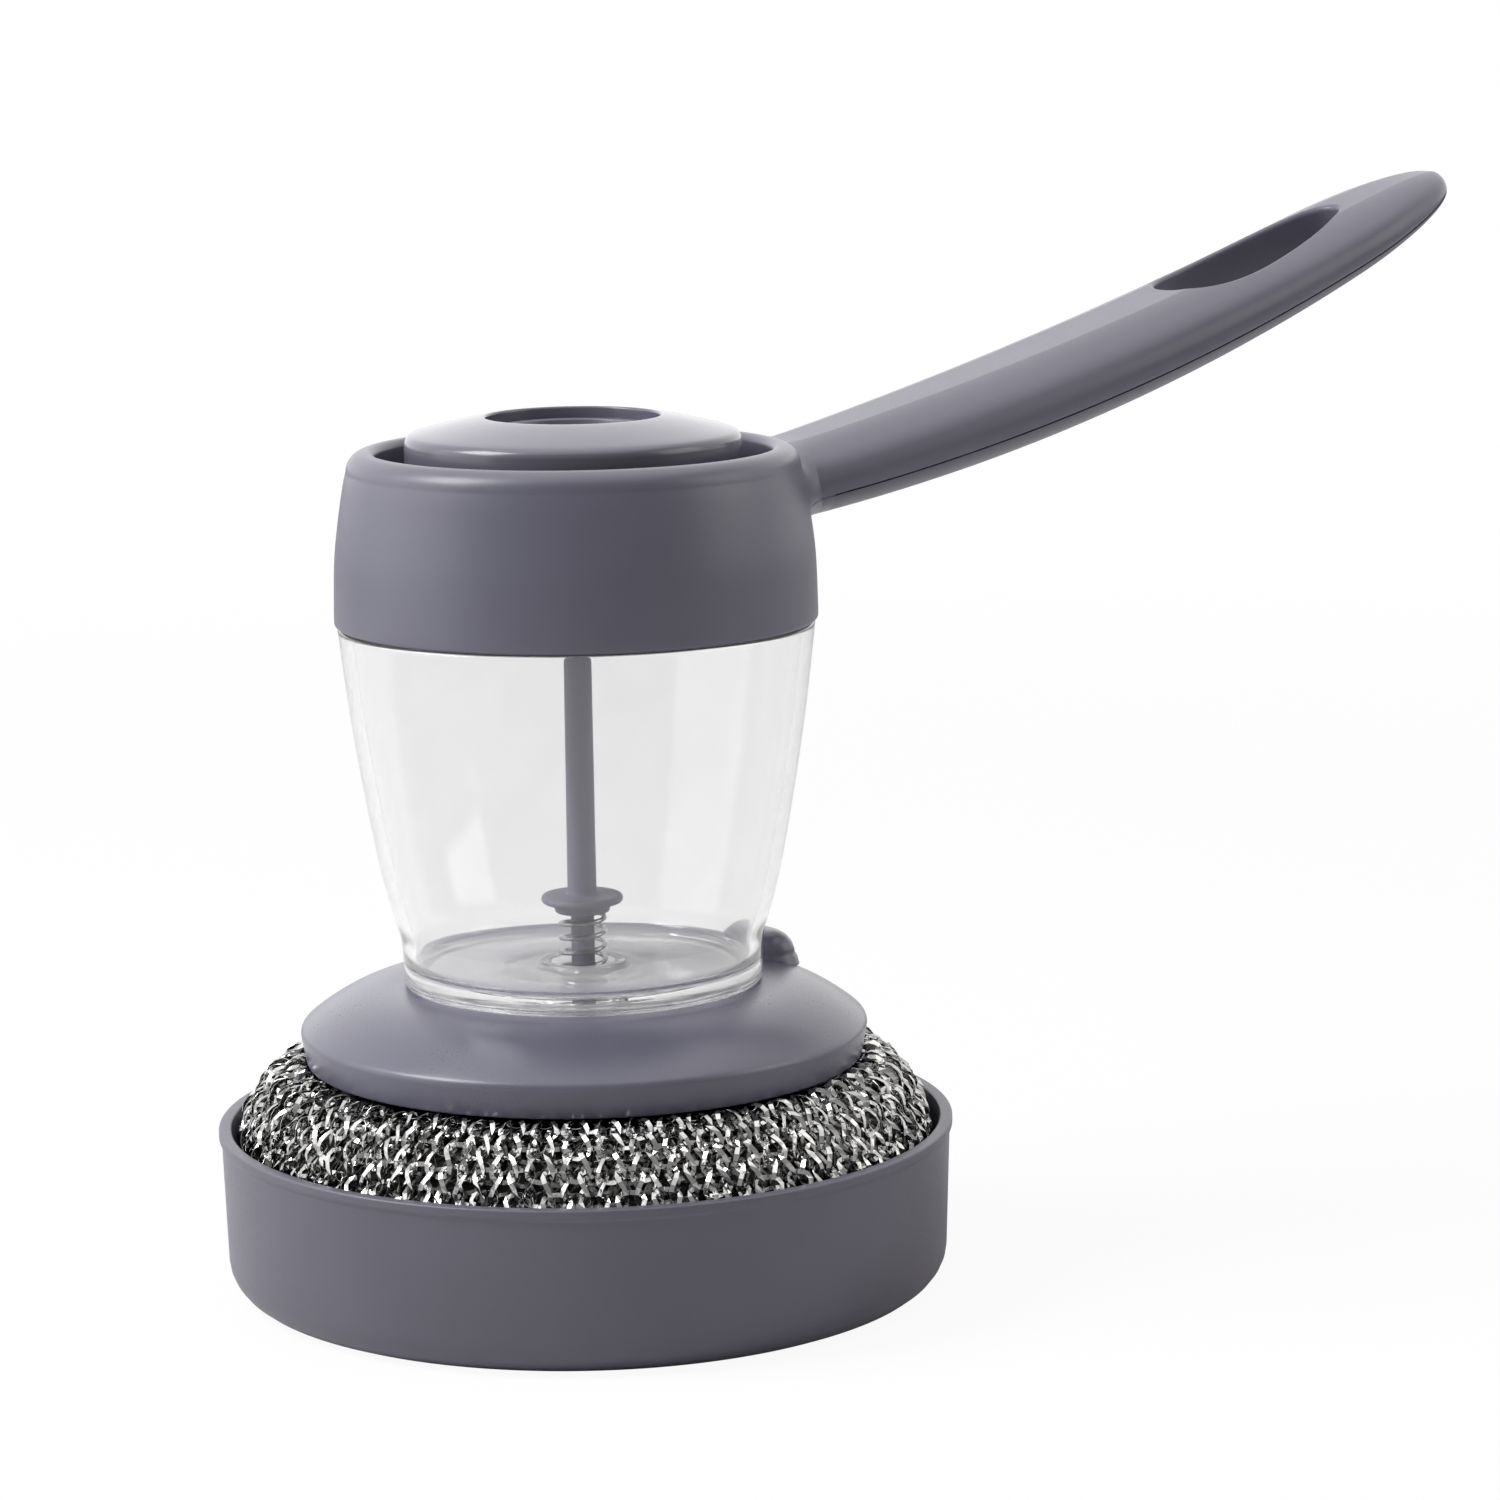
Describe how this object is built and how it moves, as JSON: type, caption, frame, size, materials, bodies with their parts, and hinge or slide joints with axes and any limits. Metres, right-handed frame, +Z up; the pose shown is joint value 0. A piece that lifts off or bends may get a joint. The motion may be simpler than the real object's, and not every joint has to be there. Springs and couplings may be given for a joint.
{
  "type": "soap dispensing brush",
  "caption": "Dish brush with a steel scourer head, clear soap tank, press button, angled handle with a hanging slot, and a drip tray.",
  "frame": {"origin": "centre of the drip tray's flat base, on the axis of the tank", "axes": "+Z up along the tank's axis, +X along the handle, which lies in the XZ plane of symmetry"},
  "size_m": [0.2124, 0.1066, 0.1556],
  "materials": {
    "drip_tray": "satin slate grey moulded plastic",
    "scourer": "knitted flat stainless ribbon, bright",
    "scourer_clamp": "satin dark grey plastic",
    "screw_steel": "plain stainless steel",
    "head_disc": "satin dark slate grey plastic",
    "clear_tank": "clear polished plastic",
    "silicone": "grey silicone",
    "handle_collar": "satin slate grey plastic",
    "handle_under_cover": "satin dark slate grey plastic",
    "filler_cap": "satin slate grey plastic, brighter on the rounded edge",
    "cap_insert": "satin dark grey plastic",
    "press_button": "satin slate grey plastic",
    "push_rod": "satin grey plastic",
    "valve_foot": "satin dark grey plastic",
    "spring": "bright spring wire"
  },
  "bodies": {
    "tray": {"drip_tray": "drip_tray"},
    "brush": {"handle_collar": "handle_collar", "handle_under_cover": "handle_under_cover", "tank": "clear_tank", "tank_gasket": "silicone", "spring": "spring"},
    "head": {"head_disc": "head_disc", "scourer": "scourer", "scourer_clamp": "scourer_clamp", "clamp_screw_1": "screw_steel", "clamp_screw_2": "screw_steel", "clamp_screw_3": "screw_steel", "socket_seal": "silicone"},
    "cap_seal": {"cap_gasket": "silicone"},
    "cap": {"filler_cap": "filler_cap", "cap_insert": "cap_insert", "rod_seal": "silicone"},
    "button": {"press_button": "press_button"},
    "rod": {"push_rod": "push_rod", "valve_seal": "silicone", "valve_foot": "valve_foot"}
  },
  "joints": [
    {"name": "brush_lift", "type": "slide", "parent": "tray", "child": "brush", "axis": [0, 0, 1], "range_m": [0, 0.06]},
    {"name": "head_twist", "type": "hinge", "parent": "brush", "child": "head", "pos_m": [0, 0, 0.0441], "axis": [0, 0, 1], "range_deg": [0, 45]},
    {"name": "cap_lift", "type": "slide", "parent": "brush", "child": "cap_seal", "axis": [0, 0, 1], "range_m": [0, 0.0061]},
    {"name": "cap_turn", "type": "hinge", "parent": "cap_seal", "child": "cap", "pos_m": [0, 0, 0.1082], "axis": [0, 0, 1], "range_deg": [0, 360]},
    {"name": "rod_press", "type": "slide", "parent": "brush", "child": "rod", "axis": [0, 0, -1], "range_m": [0, 0.004], "stiffness_N_per_m": 400, "springref_m": -0.0075, "deforming": ["spring"]},
    {"name": "button_press", "type": "slide", "parent": "cap", "child": "button", "axis": [0, 0, -1], "range_m": [0, 0.004]}
  ],
  "couplings": [
    {"joint": "cap_lift", "follows": "cap_turn", "m_per_rad": 0.00095493},
    {"joint": "button_press", "follows": "rod_press", "ratio": 1}
  ]
}
